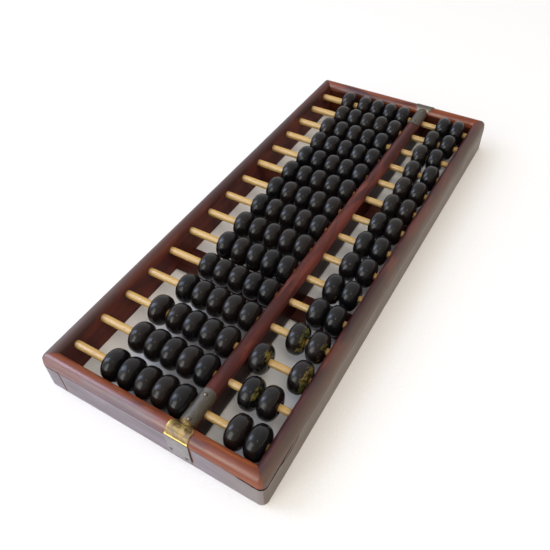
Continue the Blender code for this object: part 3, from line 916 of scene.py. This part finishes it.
def strap_line():
    """The middle line of the strap at +X, from the end of its leg to the foot of the fold.

    Its points are (x, rail height, half width, brightness), and the rail height is 0 where the strap lies
    on the beam only. The brightness carries painted light: a painted reflection where the plate rises onto
    the rail and a painted highlight along the fold.
    """
    leg, plate = STRAP_LEG_WIDTH / 2, STRAP_PLATE_WIDTH / 2
    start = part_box("right_strap")[0].x
    line = []
    count = 26
    for step in range(count):
        x = start + (INNER_X - start) * (step / count) ** 1.3
        left = max(0.0, STRAP_CORNER - (x - start)) / STRAP_CORNER
        half = leg - STRAP_CORNER * (1 - math.sqrt(1 - left * left))
        by_plate = smooth_step(INNER_X - 4 * MM, INNER_X + MM, x)
        shine = 0.08 + 0.4 * by_plate + 0.12 * smooth_step(0.4, 1.0, left)
        line.append((x, 0.0, half, shine))
    for degrees in range(14, 146, 6):
        angle = math.radians(degrees)
        x = INNER_X + RAIL_WIDTH / 2 * (1 - math.cos(angle))
        width = leg + (plate - leg) * smooth_step(INNER_X, INNER_X + STRAP_FLARE, x)
        # painted reflection: brightest where the plate rises onto the rail
        bright = 0.8 - 0.35 * smooth_step(INNER_X + STRAP_FLARE, FRAME_LENGTH / 2 - 2 * MM, x)
        line.append((x, RAIL_FOOT + DOME_HEIGHT * math.sin(angle), width, bright))
    outer = FRAME_LENGTH / 2 + 0.05 * MM
    fold = RAIL_FOOT + 2.2 * MM
    # painted highlight along the fold
    for back, rise, shine in ((0.45, 0.55, 0.7), (0.1, 0.12, 1.3), (0, -0.2, 1.2), (0, -0.7, 0.3)):
        line.append((outer - back * MM, fold + rise * MM, plate, shine))
    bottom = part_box("right_strap")[0].z
    count = 12
    for step in range(1, count + 1):
        share = step / count
        line.append((outer, (fold - 0.7 * MM) * (1 - share) + bottom * share, plate, 0.0))
    return line


def thicken(strap):
    """Give a sheet its thickness and soft edges."""
    solid = strap.modifiers.new("sheet", "SOLIDIFY")
    solid.thickness = SHEET
    solid.offset = 1.0
    bevel = strap.modifiers.new("edge", "BEVEL")
    bevel.width = 0.1 * MM
    bevel.segments = 2
    bevel.limit_method = "ANGLE"
    bevel.angle_limit = math.radians(60)
    apply_modifiers(strap)


def make_strap(node, side, material):
    """A T of sheet brass that lies on the beam and the end rail."""
    low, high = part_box(node)
    plate_y = (low.y + high.y) / 2
    bm = bmesh.new()
    rings = []
    bright = []
    folded = []
    for x, rail_height, half, shine in strap_line():
        ring = []
        on_plate = smooth_step(STRAP_LEG_WIDTH / 2, STRAP_PLATE_WIDTH / 2, half)
        for column in range(STRAP_COLUMNS + 1):
            across = (2 * column / STRAP_COLUMNS - 1) * half
            y = BEAM_Y + (plate_y - BEAM_Y) * on_plate + across
            on_beam = 0
            if x < INNER_X + 3 * MM:
                on_beam = dome(y - BEAM[0].y, BEAM_WIDTH, BEAM_FOOT, BEAM_DOME_HEIGHT)
            spot = Vector((side * x, y, max(rail_height, on_beam)))
            spot.z += 0.1 * MM * (1 + wave(spot, 3 * MM, 31 + side))
            ring.append(bm.verts.new(spot))
            edge = 0.2 * max(0, abs(across) / half - 0.86) / 0.14
            # the far strap gets less of the painted reflection and highlight
            bright.append((shine + edge) * (1.0 if side > 0 else FAR_STRAP_SHINE))
            # folded marks where the painted floor reflection goes
            folded.append(x > FRAME_LENGTH / 2 and rail_height < RAIL_FOOT + 1.4 * MM)
        rings.append(ring)
    skin_rings(bm, rings, closed_ring=False, cap=False)
    strap = add_piece(f"{node}_brass", bm, material)
    if strap.data.polygons[0].normal.z < 0:
        strap.data.flip_normals()
    number_attribute(strap.data, "bright", bright)
    number_attribute(strap.data, "folded", folded)
    thicken(strap)
    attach(strap, "frame")
    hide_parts(node)
    make_tacks(node, side, plate_y, material)


def make_tacks(node, side, plate_y, material):
    """Round tack heads with dark rims, painted as shadow, and painted highlights on the leg tacks' crowns:
    two along the leg and two low on the fold.
    """
    top = BEAM[1].z + SHEET
    outer = FRAME_LENGTH / 2 + SHEET
    flat = Matrix.Identity(4)
    upright = Matrix.Rotation(side * math.pi / 2, 4, "Y")
    places = [
        (Vector((side * (INNER_X - 18.6 * MM), BEAM_Y, top)), flat),
        (Vector((side * (INNER_X - 2.2 * MM), BEAM_Y + 0.8 * MM, top - 0.1 * MM)), flat),
        (Vector((side * outer, plate_y - 5.6 * MM, 8.6 * MM)), upright),
        (Vector((side * outer, plate_y + 4.6 * MM, 6.4 * MM)), upright),
    ]
    around = [2 * math.pi * step / TACK_ROUNDS for step in range(TACK_ROUNDS)]
    for index, (spot, turn) in enumerate(places, 1):
        on_leg = index < 3
        place = Matrix.Translation(spot) @ turn
        bm = bmesh.new()
        rings = []
        shine = []
        # gleam: painted shadow at the rim, painted highlight on the crown
        for angle, gleam in ((0.0, -0.4), (0.3, -0.4), (0.7, 0.0), (1.1, 0.35), (1.45, 0.8)):
            out, up = TACK_RADIUS * math.cos(angle), TACK_HEIGHT * math.sin(angle)
            ring = [Vector((out * math.cos(a), out * math.sin(a), up)) for a in around]
            rings.append([bm.verts.new(place @ point) for point in ring])
            shine += [gleam if on_leg else -0.2] * TACK_ROUNDS
        skin_rings(bm, rings)
        tack = add_piece(f"{node}_tack_{index}", bm, material)
        number_attribute(tack.data, "bright", shine)
        number_attribute(tack.data, "folded", [0.0 if on_leg else 0.25] * len(shine))
        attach(tack, "frame")


# ---------------------------------------------------------------- stage


def make_camera():
    """The camera, from above the near corner."""
    data = bpy.data.cameras.new("camera")
    data.lens = CAMERA_LENS
    data.sensor_width = CAMERA_SENSOR
    data.clip_start = 0.01
    data.clip_end = 20
    camera = bpy.data.objects.new("camera", data)
    bpy.context.scene.collection.objects.link(camera)
    look = (CAMERA_AIM - CAMERA_PLACE).to_track_quat("-Z", "Y").to_matrix().to_4x4()
    camera.matrix_world = Matrix.Translation(CAMERA_PLACE) @ look @ Matrix.Rotation(CAMERA_ROLL, 4, "Z")
    bpy.context.scene.camera = camera


def add_light(name, place, width, height, power, colour):
    """A soft panel that faces the middle of the object and that the camera doesn't see."""
    data = bpy.data.lights.new(name, "AREA")
    data.shape = "RECTANGLE"
    data.size = width
    data.size_y = height
    data.energy = power
    data.color = colour
    light = bpy.data.objects.new(name, data)
    light.location = place
    light.rotation_mode = "QUATERNION"
    light.rotation_quaternion = (-Vector(place)).to_track_quat("-Z", "Y")
    light.visible_camera = False
    bpy.context.scene.collection.objects.link(light)
    return light


def toward(azimuth, elevation, distance):
    """A place in a direction from the object, with angles in degrees from +X and up."""
    turn, rise = math.radians(azimuth), math.radians(elevation)
    flat = math.cos(rise)
    return Vector((math.cos(turn) * flat, math.sin(turn) * flat, math.sin(rise))) * distance


def make_lights():
    """Two windows, one blue with sky and one grey, a small lamp overhead and a warm matt fill.

    Each window has a twin that shows in reflections only, and the fill shows in none.
    """
    for name, azimuth, elevation, width, height, power, sheen, colour in WINDOWS:
        place = toward(azimuth, elevation, WINDOW_DISTANCE)
        add_light(name, place, width, height, power, colour)
        add_light(f"{name}_sheen", place, width, height, sheen, colour).visible_diffuse = False
    fill_place = toward(60, 62, FILL_DISTANCE)
    add_light("warm_fill", fill_place, 1.6, 1.6, 28.0, (1.0, 0.89, 0.74)).visible_glossy = False
    add_light("lamp", toward(33, 62, LAMP_DISTANCE), 0.06, 0.06, 0.3, (1.0, 0.93, 0.88))


def make_world():
    """Soft studio light: cool and bright behind the earth rail, warm and dim on the heaven side."""
    world = bpy.data.worlds.new("studio")
    world.use_nodes = True
    nodes = world.node_tree.nodes
    link = world.node_tree.links.new
    place = nodes.new("ShaderNodeTexCoord")
    aim = nodes.new("ShaderNodeVectorMath")
    aim.operation = "DOT_PRODUCT"
    aim.inputs[1].default_value = Vector((-0.25, -0.95, 0.12)).normalized()
    link(place.outputs["Generated"], aim.inputs[0])
    side = nodes.new("ShaderNodeMapRange")
    side.inputs["From Min"].default_value = -0.8
    side.inputs["From Max"].default_value = 1.0
    link(aim.outputs["Value"], side.inputs["Value"])
    mix = nodes.new("ShaderNodeMix")
    mix.data_type = "RGBA"
    mix.inputs[6].default_value = (*DIM_SKY, 1.0)
    mix.inputs[7].default_value = (*BRIGHT_SKY, 1.0)
    link(side.outputs["Result"], mix.inputs[0])
    link(mix.outputs[2], nodes["Background"].inputs["Color"])
    nodes["Background"].inputs["Strength"].default_value = 1.0
    bpy.context.scene.world = world


def make_floor():
    """A wide pale floor under the object."""
    bm = bmesh.new()
    bmesh.ops.create_grid(bm, x_segments=8, y_segments=8, size=FLOOR_HALF)
    mesh = bpy.data.meshes.new("floor")
    bm.to_mesh(mesh)
    bm.free()
    mesh.materials.append(paper_floor())
    floor = bpy.data.objects.new("floor", mesh)
    bpy.context.scene.collection.objects.link(floor)


def main():
    bpy.context.scene.view_settings.view_transform = "Standard"
    make_camera()
    make_lights()
    make_world()
    make_floor()
    long_wood = rosewood("rosewood_long", *LONG_WOOD)
    beam_wood = rosewood("rosewood_beam", *BEAM_WOOD)
    end_wood = rosewood("rosewood_end", *END_WOOD, along_y=True)
    brace_wood = rosewood("rosewood_brace", *BRACE_WOOD, along_y=True)
    make_rails(long_wood, end_wood)
    make_beam(beam_wood)
    for seed, node in enumerate(("left_brace", "right_brace")):
        make_brace(node, brace_wood, 40 + seed)
    cane = bamboo()
    for number in ROD_NUMBERS:
        make_rod(number, cane)
    make_beads(lacquer())
    sheet = brass()
    make_strap("left_strap", -1, sheet)
    make_strap("right_strap", 1, sheet)


main()
